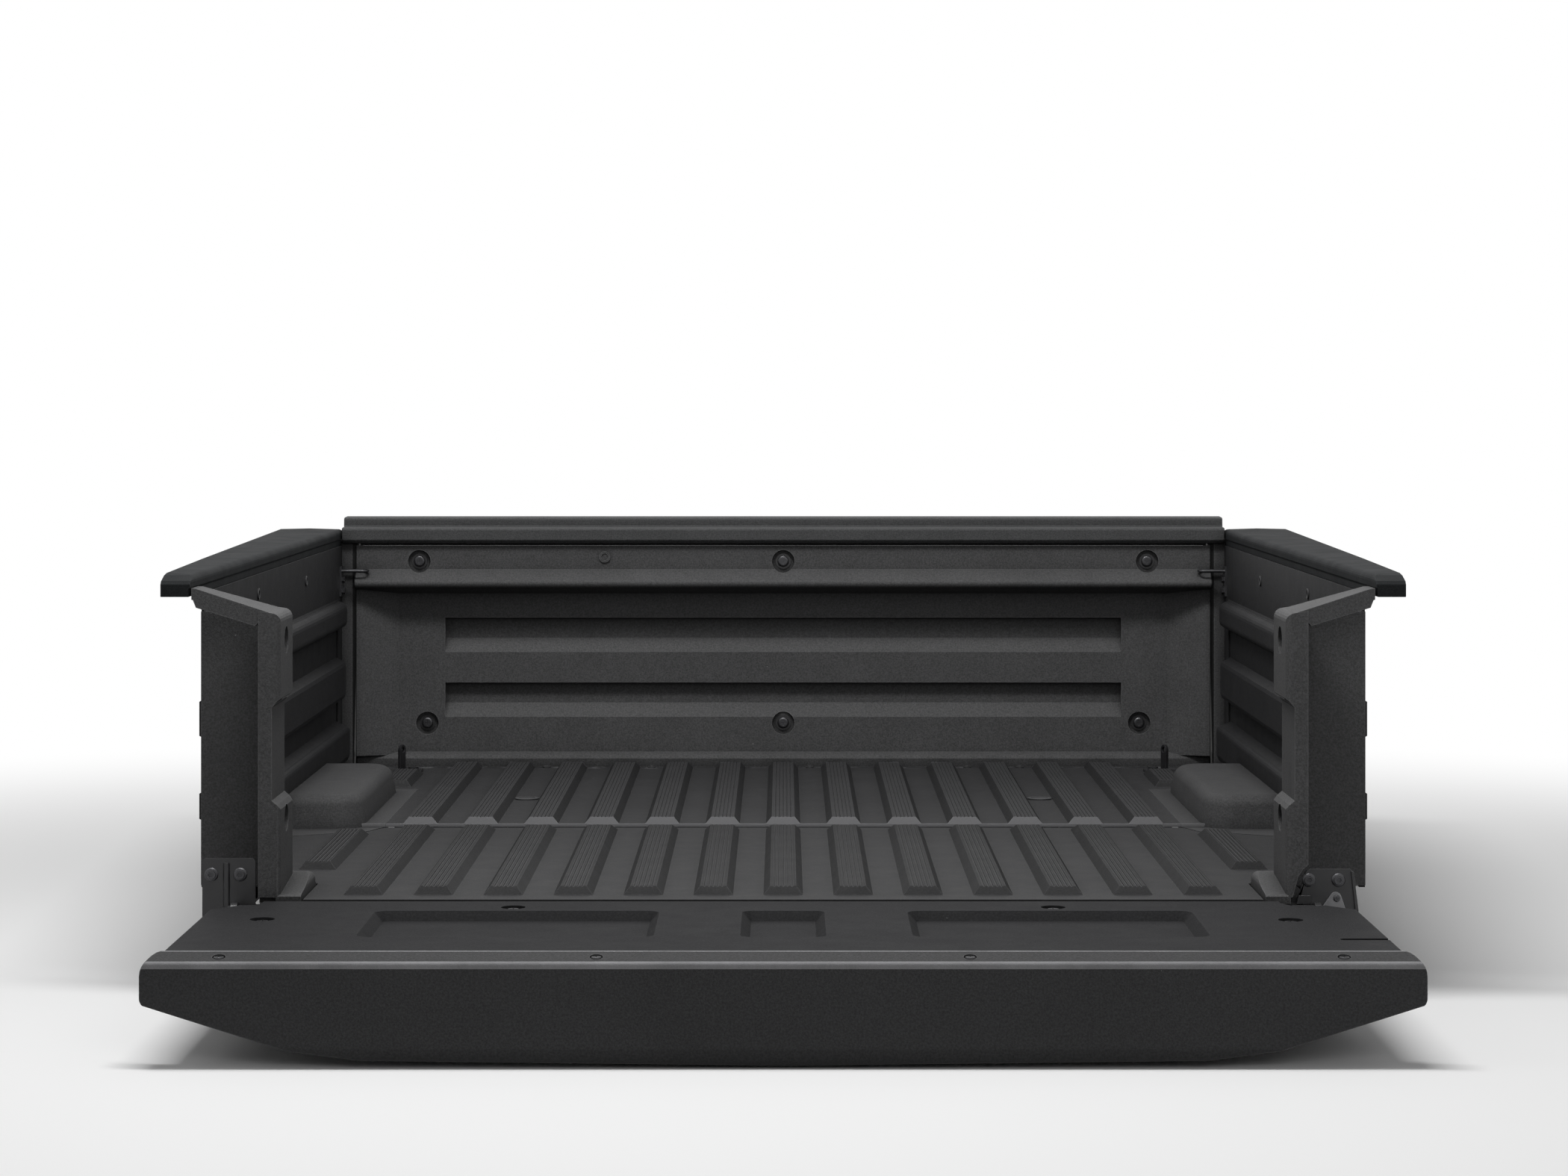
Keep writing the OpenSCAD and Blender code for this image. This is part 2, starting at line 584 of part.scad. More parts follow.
// Wire hook that stands out of the side wall, on a small base plate.
module side_tie_down() {
    difference() {
        box([wall_x - 3, hook_y - 14, 310], [wall_x, hook_y + 14, 362]);
        for (z = hook_bolt_zs) rod_x(wall_x - 5, wall_x + 1, hook_y, z, bolt_r + 0.2, 24);
    }
    for (y = [hook_y - 10, hook_y + 10]) rod_x(wall_x - 38, wall_x - 3 + eps, y, hook_z, hook_wire_r, 24);
    translate([wall_x - 38, hook_y, hook_z]) rotate([0, 0, 90]) rotate_extrude(angle = 180, $fn = 48)
        translate([10, 0]) circle(r = hook_wire_r, $fn = 24);
}
module side_tie_down_right() color(steel_dark) in_bed() side_tie_down();
module side_tie_down_left() color(steel_dark) in_bed() mirror([1, 0, 0]) side_tie_down();

module side_tie_down_bolts() color(steel_dark) in_bed() both_sides() for (z = hook_bolt_zs)
    translate([wall_x - 3, hook_y, z]) rotate([0, -90, 0]) hex_bolt(7, 4.5);

// Hex-head bolt standing on its seat, with its shank below.
module hex_bolt(head_r, head_h) {
    cylinder(r = head_r, h = head_h, $fn = 6);
    translate([0, 0, -14]) cylinder(r = bolt_r, h = 14 + eps, $fn = 24);
}

// ---------- tailgate hinges ----------

// Inner ends of the hinge eyes on the right and the left, and the brackets' screws.
eye_right = 667;
eye_left = 686;
bracket_screws_right = [[692, 25.4], [731, 25.4]];
bracket_screws_left = [[715, 32.6], [753, 32.6]];
tab_screw = [728.5, 1.5];

// Bracket plate with the outline face, an ear at the eye that starts at ear_x, and screw holes.
module hinge_bracket(face, eye_x, holes) difference() {
    union() {
        along_y(6, 10) polygon(face);
        along_x(eye_x + 29, eye_x + 37) polygon(concat([[10, 10 - 17], [10, -32]],
            arc(gate_axis[0], gate_axis[1], 13, 270, 90, 10)));
        children();
    }
    rod_x(eye_x + 20, eye_x + 50, gate_axis[0], gate_axis[1], gate_pin_r, 40);
    for (p = holes) rod_y(p[0], 0, 20, p[1], 4.2, 24);
}
module hinge_bracket_right() color(steel_black) in_bed() difference() {
    hinge_bracket([[672, -32], [672, -8], [675, -8], [688, 36], [692, 40], [746, 40], [751, 36],
        [757, -14], [757, -32]], eye_right, bracket_screws_right) {
        // Folded outer edge and a pressed shelf at the inner foot
        along_y(2.5, 7) polygon([[747.5, 37], [751, 36], [757, -14], [757, -32], [753, -32], [753, -14]]);
        along_y(3.5, 7) polygon([[676, -6], [679, 5], [694, 5], [694, -6]]);
    }
    rod_y(tab_screw[0], 0, 20, tab_screw[1], 2.6, 24);
}
module hinge_bracket_left() color(steel_black) in_bed() mirror([1, 0, 0])
    hinge_bracket([[672, -32], [672, -7], [695, -7], [695, 50], [699, 54], [761, 54], [765, 50],
        [765, -32]], eye_left, bracket_screws_left)
        // Pressed centre bead
        along_z(-20, 48) polygon([[728, 6.5], [730.5, 3], [735.5, 3], [738, 6.5]]);

// Socket-head screw with a flange, head at the origin's -Y side.
module socket_screw(head_r, head_h, shank_r, shank_l) {
    rotate([90, 0, 0]) difference() {
        rotate_extrude($fn = 48) polygon([[0, 0], [head_r, 0], [head_r, head_h * 0.3],
            [head_r - 1.2, head_h * 0.55], [head_r * 0.68, head_h * 0.6], [head_r * 0.62, head_h],
            [0, head_h]]);
        translate([0, 0, head_h - 2.4]) cylinder(r = head_r * 0.44, h = 4, $fn = 6);
    }
    rotate([-90, 0, 0]) cylinder(r = shank_r, h = shank_l, $fn = 32);
}

module hinge_bracket_screws() color(steel_dark) in_bed() {
    for (p = bracket_screws_right) translate([p[0], 6, p[1]]) socket_screw(9, 4.2, 4, 22);
    for (p = bracket_screws_left) translate([-p[0], 6, p[1]]) socket_screw(9, 4.2, 4, 22);
}

// Small keeper plate on the right bracket, held by its own screw.
module hinge_tab() color(steel_dark) in_bed() difference() {
    along_y(4, 6) polygon(concat([[708, -12]], arc(tab_screw[0] - 1.5, tab_screw[1] + 1, 7.5, 130, 20, 6),
        [[740, -12]]));
    rod_y(tab_screw[0], 0, 20, tab_screw[1], 2.6, 24);
}
module hinge_tab_screw() color(steel_dark) in_bed()
    translate([tab_screw[0], 4, tab_screw[1]]) pan_screw(4.6, 2.2, 2.5, 12);

module tailgate_hinge_pins() color(steel_dark) in_bed() for (side = [1, -1])
    mirror([side < 0 ? 1 : 0, 0, 0]) {
        x = side > 0 ? eye_right : eye_left;
        rod_x(x + 5, x + 41, gate_axis[0], gate_axis[1], gate_pin_r, 40);
        rod_x(x + 37, x + 41, gate_axis[0], gate_axis[1], gate_pin_r + 3, 40);
    }

// Eyes whose arms stand on the pan's front wall.
module hinge_eye(x) difference() {
    union() {
        rod_x(x, x + 28, gate_axis[0], gate_axis[1], 9.5, 48);
        along_x(x, x + 8) polygon([[-16, -8], [-25, -12], [-38, -24], [notch_y - 6, -24],
            [notch_y - 6, -56], [-36, -48], [-22, -21]]);
    }
    rod_x(x - 5, x + 35, gate_axis[0], gate_axis[1], gate_pin_r + run_gap, 40);
}
module tailgate_hinge_eyes() color(steel_black) in_bed() {
    hinge_eye(eye_right);
    mirror([1, 0, 0]) hinge_eye(eye_left);
}

// ---------- lid hinges ----------

module lid_hinge_leaves() color(steel_black) in_bed() for (x = hinge_xs) difference() {
    union() for (s = [-1, 1]) translate([x + s * 12, lid_axis[0], lid_axis[1]]) {
        rod_x(-6, 6, 0, 0, 4.6, 32);
        along_x(-6, 6) polygon([[0, -4.5], [0, -0.5], [6.4, 0.6], [6.4, 5], [22, 5], [22, 1.5],
            [9, -2.5]]);
    }
    rod_x(x - 30, x + 30, lid_axis[0], lid_axis[1], lid_pin_r, 32);
}

module lid_hinge_pins() color(steel_dark) in_bed() for (x = hinge_xs)
    rod_x(x - 18.5, x + 18.5, lid_axis[0], lid_axis[1], lid_pin_r, 32);

module lid_hinge_arms() color(steel_black) in_bed() for (x = hinge_xs) difference() {
    union() {
        rod_x(x - 5.5, x + 5.5, lid_axis[0], lid_axis[1], 4.6, 32);
        box([x - 5.5, lid_axis[0] - 20, -floor_t - 3], [x + 5.5, lid_axis[0] - 0.6, -floor_t]);
    }
    rod_x(x - 30, x + 30, lid_axis[0], lid_axis[1], lid_pin_r + run_gap, 32);
}

// ---------- tailgate ----------

strip_y = -(gate_reach - 36);
cap_screw_xs = [-670, -222, 222, 666];
notch_y = -50;
recess_depth = 12;
cap_screw_y = strip_y - 20;

// Outline of the tailgate's lining from above, drawn in by d, with a notch at each hinge.
function gate_plan(d) = [
    [648 - d, -1], [650 - d, -30], [660 - d, notch_y - d], [706 - d, notch_y - d],
    [gate_half - d, -86 - d], [gate_half - d, strip_y],
    [d - gate_half, strip_y], [d - gate_half, -86 - d], [d - 708, notch_y - d], [d - 686, notch_y - d],
    [d - 682, -30], [d - 680, -1]];

// Lower outline of the tailgate seen from behind, drawn in by d.
function gate_face(d) = symmetric(concat(
    [[0, -cap_depth + d], [300, -cap_depth + 2 + d], [502, -124 + d], [589, -112 + d], [680, -84 + d]],
    arc(cap_half - 12 - d, -50, 12, -45, 0, 4),
    arc(cap_half - 26, 2 - 26, 26 - d, 0, 90, 7)));

// Lining of the tailgate, drawn in by d.
module gate_liner_mass(d) {
    grow = 0.42 * d;
    difference() {
        intersection() {
            along_x(-800, 800) polygon(concat([[strip_y, -60], [strip_y, -d]],
                arc(-12, -10, 10 - d, 90, 0, 5), [[-2 - d, -60]]));
            along_z(-80, 10) polygon(gate_plan(d));
        }
        // Two wide pressed recesses and a narrow one between them
        translate([0, 0, -d]) {
            for (s = [-1, 1]) recess(s * 342, -205, 183 + grow, 109 + grow, 18 + grow);
            recess(0, -205, 53 + grow, 109 + grow, 14 + grow);
        }
    }
}

// Recess with sloped sides and rounded corners, centred on x and y.
module recess(x, y, hx, hy, r) hull() for (sx = [-1, 1], sy = [-1, 1])
    translate([x + sx * (hx - r), y + sy * (hy - r), -recess_depth])
        cylinder(r1 = r - recess_depth, r2 = r + 1, h = recess_depth + 1, $fn = 32);

gate_screws = [[350, -65], [-350, -65], [642, -174], [-660, -168]];

module tailgate_liner() color(charcoal) in_bed() difference() {
    union() {
        difference() {
            gate_liner_mass(0);
            gate_liner_mass(skin);
            box([-800, strip_y - 10, -60], [800, strip_y + skin + 1, -skin]);
            box([-800, -500, -60], [800, 0, -22]);
        }
        for (p = gate_screws) translate([p[0], p[1], -9]) cylinder(r = 20, h = 9 - eps, $fn = 48);
    }
    // Finger slot at the right edge
    box([685, -339, -2.5], [gate_half + 5, -327, 5]);
    translate([685, -333, -2.5]) cylinder(r = 6, h = 10, $fn = 32);
    for (p = gate_screws) translate([p[0], p[1], -6]) cylinder(r = 16, h = 10, $fn = 48);
    for (p = gate_screws) translate([p[0], p[1], -20]) cylinder(r = 4.2, h = 20, $fn = 24);
}

// Screw whose head faces up, standing on a seat at the origin.
module gate_screw(head_r, head_h, shank_r, shank_l)
    rotate([-90, 0, 0]) pan_screw(head_r, head_h, shank_r, shank_l);

module tailgate_liner_screws() color(steel_dark) in_bed()
    for (p = gate_screws) translate([p[0], p[1], -6]) gate_screw(9, 4, 4, 16);

module tailgate_pan() color(charcoal) in_bed() difference() {
    pan_mass(0);
    pan_mass(3);
}

module pan_mass(d) intersection() {
    // The inside reaches past the rim, so that the pan is open under the lining
    rim = d > 0 ? 5 : -skin;
    along_x(-800, 800) polygon([[-16, rim], [-10 - d, -14], [-10 - d, -44 + d], [-40, -64 + d],
        [strip_y + d, -104 + d], [strip_y + d, rim]]);
    along_z(-150, 10) polygon(gate_plan(d + 6));
    along_y(-500, 10) polygon([for (p = gate_face(d + 1)) [p[0], p[1]]]);
}

module tailgate_top_cap() color(charcoal) in_bed() difference() {
    cap_mass(0);
    cap_mass(skin);
    for (x = cap_screw_xs) translate([x, cap_screw_y, -4.5]) cylinder(r = 8, h = 9, $fn = 32);
    for (x = cap_screw_xs) translate([x, cap_screw_y, -14]) cylinder(r = 3.2, h = 20, $fn = 24);
}

// The cap's top slopes down from a raised inner edge to a small rounded outer edge.
module cap_mass(d) intersection() {
    if (d == 0) along_x(-800, 800) polygon(concat([[strip_y, -150]],
        arc(strip_y - 2.5, -1, 2.5, 0, 105, 5), arc(4 - gate_reach, -10.5, 4, 105, 180, 4),
        [[-gate_reach, -110], [8 - gate_reach, -150]]));
    else along_x(-800, 800) polygon([[strip_y + 1, -150], [strip_y + 1, -2.2], [strip_y - 3, -2.6],
        [4 - gate_reach + 1.5, -10.6], [4 - gate_reach, -13], [4 - gate_reach, -110],
        [12 - gate_reach, -150]]);
    along_y(-500, 10) polygon(gate_face(d));
}

module tailgate_cap_screws() color(steel_dark) in_bed()
    for (x = cap_screw_xs) translate([x, cap_screw_y, -4.5]) gate_screw(6.2, 1.8, 3, 14);

// ---------- parts ----------

front_floor_panel();
wheel_arch_cover_left();
wheel_arch_cover_right();
side_panel_left();
side_panel_right();
bulkhead_panel();
bulkhead_top_trim();
corner_post_left();
corner_post_right();
rail_cap_left();
rail_cap_right();
pillar_trim_left();
pillar_trim_right();
surround_rear_rail();
surround_left_rail();
surround_right_rail();
surround_front_rail();
floor_crossbars();
lid_seal();
floor_plugs();
floor_tie_down_left();
floor_tie_down_right();
floor_tie_down_bolts();
side_tie_down_left();
side_tie_down_right();
side_tie_down_bolts();
bulkhead_screws();
bulkhead_washers();
bulkhead_plug();
hinge_bracket_left();
hinge_bracket_right();
hinge_bracket_screws();
hinge_tab();
hinge_tab_screw();
tailgate_hinge_pins();
lid_hinge_leaves();
lid_hinge_pins();
trim_clips();
rear_floor_lid();
lid_hinge_arms();
tailgate_liner();
tailgate_pan();
tailgate_top_cap();
tailgate_hinge_eyes();
tailgate_liner_screws();
tailgate_cap_screws();
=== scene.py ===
import json
import math

import bpy
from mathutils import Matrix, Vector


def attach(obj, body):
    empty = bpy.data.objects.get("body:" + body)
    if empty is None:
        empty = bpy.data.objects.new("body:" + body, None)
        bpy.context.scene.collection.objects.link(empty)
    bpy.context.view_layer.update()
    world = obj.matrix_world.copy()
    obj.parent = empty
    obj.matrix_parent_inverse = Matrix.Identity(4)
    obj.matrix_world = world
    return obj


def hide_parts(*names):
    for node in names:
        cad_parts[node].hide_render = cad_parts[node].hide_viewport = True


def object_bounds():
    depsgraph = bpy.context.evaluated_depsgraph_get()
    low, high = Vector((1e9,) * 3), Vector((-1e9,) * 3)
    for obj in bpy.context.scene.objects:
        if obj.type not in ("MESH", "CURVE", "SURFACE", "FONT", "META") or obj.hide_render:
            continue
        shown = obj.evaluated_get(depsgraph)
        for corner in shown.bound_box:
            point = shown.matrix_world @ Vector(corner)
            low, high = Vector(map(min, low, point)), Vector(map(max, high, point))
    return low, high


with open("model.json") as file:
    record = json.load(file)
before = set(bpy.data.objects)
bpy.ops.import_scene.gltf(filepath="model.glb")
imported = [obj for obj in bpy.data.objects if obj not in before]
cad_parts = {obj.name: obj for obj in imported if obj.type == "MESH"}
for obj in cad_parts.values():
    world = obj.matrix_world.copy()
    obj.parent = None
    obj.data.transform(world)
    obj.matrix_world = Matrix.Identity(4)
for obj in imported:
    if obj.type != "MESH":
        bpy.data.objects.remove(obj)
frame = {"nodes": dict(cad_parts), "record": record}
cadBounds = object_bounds()
nodes = frame["nodes"]
print("frame loaded:", len(nodes), "nodes")

# ---- camera ----

camera = {
    "place": (0.0, -4.632, 0.697),  # eye level behind the open tailgate
    "lens": 80.31,
    "sensor": 36.0,
    "shiftX": 0.0005,
    "shiftY": -0.1226,
}


def setCamera():
    data = bpy.data.cameras.new("camera")
    data.lens = camera["lens"]
    data.sensor_width = camera["sensor"]
    data.shift_x = camera["shiftX"]
    data.shift_y = camera["shiftY"]
    eye = bpy.data.objects.new("camera", data)
    eye.location = camera["place"]
    eye.rotation_euler = (math.radians(90), 0, 0)
    bpy.context.scene.collection.objects.link(eye)
    bpy.context.scene.camera = eye


setCamera()
bpy.context.scene.view_settings.view_transform = "Standard"

# ---- studio ----

studio = {
    "floorZ": cadBounds[0][2] - 0.004,  # the open tailgate's cap hangs lowest
    "floorSize": 60.0,
    "floorColour": (0.90, 0.90, 0.90, 1),
    "floorBounce": (0.30, 0.30, 0.30, 1),  # what the floor throws back at the bed
    "whiteFrom": 1.5,  # the floor fades to plain white between these distances
    "whiteTo": 3.6,
    "ambient": 0.22,
}

lamps = {
    # the key stands above and behind the tailgate, long across the bed and short along it
    "key": {"place": (-0.35, -0.50, 3.5), "aim": (0.0, 0.75, 0.1), "size": (2.4, 0.55), "power": 104},
    "front": {"place": (1.3, -4.8, 2.3), "aim": (0.0, 0.2, 0.1), "size": (2.6, 1.8), "power": 32},
    "side": {"place": (-3.4, -1.2, 2.6), "aim": (0.0, 0.6, 0.1), "size": (1.4, 1.4), "power": 7},
}


def link(tree, a, out, b, into):
    tree.links.new(a.outputs[out], b.inputs[into])


def addNode(tree, kind, **values):
    node = tree.nodes.new(kind)
    for key, value in values.items():
        if key in node.inputs:
            node.inputs[key].default_value = value
        else:
            setattr(node, key, value)
    return node


def mathNode(tree, operation, a, b=None, clamp=False):
    node = tree.nodes.new("ShaderNodeMath")
    node.operation = operation
    node.use_clamp = clamp
    for i, value in enumerate((a, b)):
        if value is None:
            continue
        if isinstance(value, (int, float)):
            node.inputs[i].default_value = value
        else:
            tree.links.new(value, node.inputs[i])
    return node.outputs[0]


def ramp(tree, value, low, high, outLow=0.0, outHigh=1.0, interpolation="LINEAR"):
    node = tree.nodes.new("ShaderNodeMapRange")
    node.interpolation_type = interpolation
    for name, number in (("From Min", low), ("From Max", high), ("To Min", outLow), ("To Max", outHigh)):
        node.inputs[name].default_value = number
    tree.links.new(value, node.inputs["Value"])
    return node.outputs["Result"]


def lampAt(name, spec):
    data = bpy.data.lights.new(name, "AREA")
    data.energy = spec["power"]
    data.shape = "RECTANGLE"
    data.size, data.size_y = spec["size"]
    lamp = bpy.data.objects.new(name, data)
    lamp.location = spec["place"]
    direction = [a - b for a, b in zip(spec["aim"], spec["place"])]
    flat = math.hypot(direction[0], direction[1])
    turn = math.atan2(direction[1], direction[0]) - math.pi / 2
    lamp.rotation_euler = (math.atan2(flat, -direction[2]), 0, turn)
    bpy.context.scene.collection.objects.link(lamp)


def seenRay(tree):
    # 1 for what the camera sees, straight on, through glass or in a gloss
    path = addNode(tree, "ShaderNodeLightPath")
    seen = mathNode(tree, "MAXIMUM", path.outputs["Is Camera Ray"], path.outputs["Is Transmission Ray"])
    return mathNode(tree, "MAXIMUM", seen, path.outputs["Is Glossy Ray"])


def setWorld():
    world = bpy.data.worlds.new("studio")
    world.use_nodes = True
    tree = world.node_tree
    tree.nodes.clear()
    seen = seenRay(tree)
    room = addNode(tree, "ShaderNodeBackground", Color=(1, 1, 1, 1), Strength=studio["ambient"])
    white = addNode(tree, "ShaderNodeBackground", Color=(1, 1, 1, 1), Strength=1.0)
    mix = addNode(tree, "ShaderNodeMixShader")
    out = addNode(tree, "ShaderNodeOutputWorld")
    tree.links.new(seen, mix.inputs[0])
    link(tree, room, 0, mix, 1)
    link(tree, white, 0, mix, 2)
    link(tree, mix, 0, out, 0)
    bpy.context.scene.world = world


def setFloor():
    bpy.ops.mesh.primitive_plane_add(size=studio["floorSize"], location=(0, 0, studio["floorZ"]))
    floor = bpy.context.active_object
    floor.name = "studioFloor"
    material = bpy.data.materials.new("studioFloor")
    material.use_nodes = True
    tree = material.node_tree
    shader = tree.nodes["Principled BSDF"]
    tone = tree.nodes.new("ShaderNodeMixRGB")
    tone.inputs["Color1"].default_value = studio["floorBounce"]
    tone.inputs["Color2"].default_value = studio["floorColour"]
    tree.links.new(seenRay(tree), tone.inputs["Fac"])
    link(tree, tone, 0, shader, "Base Color")
    shader.inputs["Roughness"].default_value = 0.9
    shader.inputs["Specular IOR Level"].default_value = 0.1
    place = addNode(tree, "ShaderNodeTexCoord")
    far = tree.nodes.new("ShaderNodeVectorMath")
    far.operation = "LENGTH"
    link(tree, place, "Object", far, 0)
    fade = ramp(tree, far.outputs["Value"], studio["whiteFrom"], studio["whiteTo"],
                interpolation="SMOOTHSTEP")
    white = addNode(tree, "ShaderNodeEmission", Color=(1, 1, 1, 1), Strength=1.0)
    mix = addNode(tree, "ShaderNodeMixShader")
    tree.links.new(mathNode(tree, "MULTIPLY", fade, seenRay(tree)), mix.inputs[0])
    link(tree, shader, 0, mix, 1)
    link(tree, white, 0, mix, 2)
    link(tree, mix, 0, tree.nodes["Material Output"], 0)
    floor.data.materials.append(material)


setWorld()
bpy.ops.object.select_all(action="DESELECT")
setFloor()
for lampName, lampSpec in lamps.items():
    lampAt(lampName, lampSpec)
print("camera, lamps and floor set")

# ---- finishes ----

# painted shade: how much darker the steep sides of a piece are painted than its upward faces
# the grained plastic's colour differs from piece to piece as painted light and shade: lighter on the panels,
# arch covers and trims, darker on the side walls and the tailgate liner
finishes = {
    "panelLitPlastic": {
        "colour": (0.074, 0.074, 0.075), "rough": 0.60, "grain": 0.0013, "bump": 0.42, "specks": 0.5,
        "flankShade": 0.0, "rubAndGlint": 1.0,
    },
    "sideShadedPlastic": {
        "colour": (0.021, 0.021, 0.022), "rough": 0.62, "grain": 0.0013, "bump": 0.40, "specks": 0.4,
        "flankShade": 0.0, "rubAndGlint": 1.1,
    },
    "floorPlastic": {
        "colour": (0.034, 0.034, 0.035), "rough": 0.60, "grain": 0.0012, "bump": 0.40, "specks": 1.0,
        "flankShade": 0.38, "rubAndGlint": 1.3,
    },
    "linerShadedPlastic": {
        "colour": (0.021, 0.021, 0.022), "rough": 0.66, "grain": 0.0014, "bump": 0.40, "specks": 0.7,
        "flankShade": 0.20, "rubAndGlint": 0.9, "gloss": 0.06,
    },
    "capPlastic": {
        "colour": (0.038, 0.038, 0.039), "rough": 0.56, "grain": 0.0014, "bump": 0.40, "specks": 0.6,
        "flankShade": 0.0, "rubAndGlint": 2.2,
    },
    "archPlastic": {
        "colour": (0.058, 0.058, 0.059), "rough": 0.60, "grain": 0.0013, "bump": 0.42, "specks": 0.5,
        "flankShade": 0.0, "rubAndGlint": 0.8,
    },
    "railPlastic": {
        "colour": (0.0130, 0.0140, 0.0150), "rough": 0.68, "grain": 0.0009, "bump": 0.20, "specks": 0.4,
        "flankShade": 0.0, "rubAndGlint": 1.2, "gloss": 0.08,
    },
    "trimPlastic": {
        "colour": (0.068, 0.069, 0.070), "rough": 0.52, "grain": 0.0012, "bump": 0.35, "specks": 0.5,
        "flankShade": 0.0, "rubAndGlint": 1.4,
    },
    "plugPlastic": {
        "colour": (0.082, 0.082, 0.084), "rough": 0.45, "grain": 0.0008, "bump": 0.12, "specks": 0.3,
        "flankShade": 0.0, "rubAndGlint": 0.6,
    },
    "sealRubber": {
        "colour": (0.012, 0.012, 0.012), "rough": 0.75, "grain": 0.0006, "bump": 0.12, "specks": 0.2,
        "flankShade": 0.0, "rubAndGlint": 0.0,
    },
}

metals = {
    "blackSteel": {
        "colour": (0.012, 0.012, 0.013), "rough": 0.40, "metal": 0.0, "grain": 0.0016, "bump": 0.10,
    },
    "darkHardware": {
        "colour": (0.050, 0.050, 0.053), "rough": 0.34, "metal": 0.7, "grain": 0.0006, "bump": 0.08,
    },
    "zincTab": {
        "colour": (0.16, 0.16, 0.165), "rough": 0.42, "metal": 0.6, "grain": 0.0008, "bump": 0.08,
    },
    "panPaint": {
        "colour": (0.028, 0.028, 0.030), "rough": 0.40, "metal": 0.0, "grain": 0.0022, "bump": 0.06,
    },
}

# the fine lines on top of the floor ribs and the painted shade on the rib tops behind the seam, in metres in
# the bed's frame
ribs = {
    "pitch": 0.093, "head": 0.035, "lines": 5, "line": 0.0017, "top": 0.0445, "seam": 0.740, "tick": 0.0065,
    "light": 1.15, "frontLight": 0.30, "headShade": -0.48,
}
dustLine = {"from": 1.535, "to": 1.560, "light": 4.5}  # on the floor in front of the bulkhead
# painted highlight on the front floor's rear edge
seamHighlightBand = {"from": 0.7436, "to": 0.7476, "above": 0.0346, "grey": 0.20}
# painted shade in the joint of the bulkhead and the posts
postGapShade = {"from": 0.7548, "to": 0.7622, "behind": 1.50, "dark": 0.12}
seamTop = {"floorPlastic": 0.0520, "archPlastic": 0.0394}
# painted highlights on the tailgate cap's two edges
capHighlightLines = {
    "inner": (-0.4650, -0.4598), "innerAbove": 0.0300, "outer": -0.4900, "outerZ": (0.0190, 0.0275),
    "light": 6.0,
}
# painted shade in gaps and recesses: how far it reaches and how dark
crevice = {"reach": 0.030, "dark": 0.34}
dustSpeck = {"perMetre": 38.0, "size": 0.034, "share": 0.20, "light": 2.4}
edgeWornAndLit = {"plastic": 0.0022, "metal": 0.0012}  # how wide the edges are painted lighter, partly worn and partly a painted highlight
blotches = {"broad": 0.45, "patch": 0.06, "metal": 0.03}
# long faint scuffs from sliding cargo: size of the noise, stretch along the bed, turn and light
scuffs = {"size": 0.012, "stretch": 0.12, "turn": 0.22, "light": 0.28}
bumpDepth = {"plastic": 0.0006, "metal": 0.0005}


def startMaterial(name):
    material = bpy.data.materials.new(name)
    material.use_nodes = True
    tree = material.node_tree
    shader = tree.nodes["Principled BSDF"]
    place = addNode(tree, "ShaderNodeTexCoord")
    return material, tree, shader, place.outputs["Object"]


def noise(tree, place, size, detail=2.0, rough=0.5):
    node = addNode(tree, "ShaderNodeTexNoise", Scale=1.0 / size, Detail=detail, Roughness=rough)
    tree.links.new(place, node.inputs["Vector"])
    return node.outputs["Fac"]


def shade(tree, colour, factor):
    # colour times a grey factor that changes over the surface
    node = tree.nodes.new("ShaderNodeVectorMath")
    node.operation = "SCALE"
    node.inputs[0].default_value = colour
    tree.links.new(factor, node.inputs["Scale"])
    return node.outputs["Vector"]


def edgeMask(tree, radius):
    # 1 on sharp convex and concave edges, which are painted lighter: partly worn plastic, partly a painted
    # highlight
    rounded = addNode(tree, "ShaderNodeBevel", Radius=radius, samples=4)
    face = addNode(tree, "ShaderNodeNewGeometry")
    dot = tree.nodes.new("ShaderNodeVectorMath")
    dot.operation = "DOT_PRODUCT"
    link(tree, rounded, "Normal", dot, 0)
    link(tree, face, "Normal", dot, 1)
    return ramp(tree, dot.outputs["Value"], 0.985, 0.80, 0.0, 1.0)


def axisOf(tree, place, axis):
    split = addNode(tree, "ShaderNodeSeparateXYZ")
    tree.links.new(place, split.inputs[0])
    return split.outputs[axis]


def upwardFace(tree):
    # 1 where the surface looks up, 0 on its steep sides, whatever way the piece is turned
    place = addNode(tree, "ShaderNodeTexCoord")
    return ramp(tree, axisOf(tree, place.outputs["Normal"], "Z"), 0.72, 0.96)


